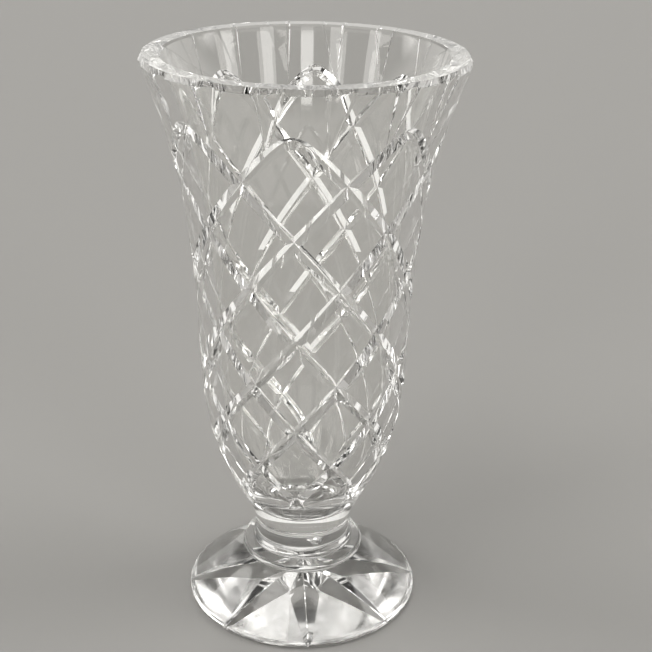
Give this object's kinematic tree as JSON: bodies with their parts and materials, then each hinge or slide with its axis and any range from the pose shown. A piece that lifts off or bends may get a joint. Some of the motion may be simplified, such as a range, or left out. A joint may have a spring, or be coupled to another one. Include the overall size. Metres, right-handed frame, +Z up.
{
  "type": "flower vase",
  "caption": "Footed cut-crystal flower vase: flared bowl with a diamond lattice of V cuts, ringed collar and round star-cut foot.",
  "frame": {"origin": "on the vase's axis, in the plane of the foot's underside that it stands on", "axes": "+Z up along the vase's axis, toward the rim; -Y is the side that one ray of the foot's star points to"},
  "size_m": [0.0948, 0.0948, 0.18],
  "materials": {
    "crystal": "polished"
  },
  "bodies": {
    "root": {"bowl": "crystal", "collar": "crystal", "foot": "crystal"}
  },
  "joints": []
}
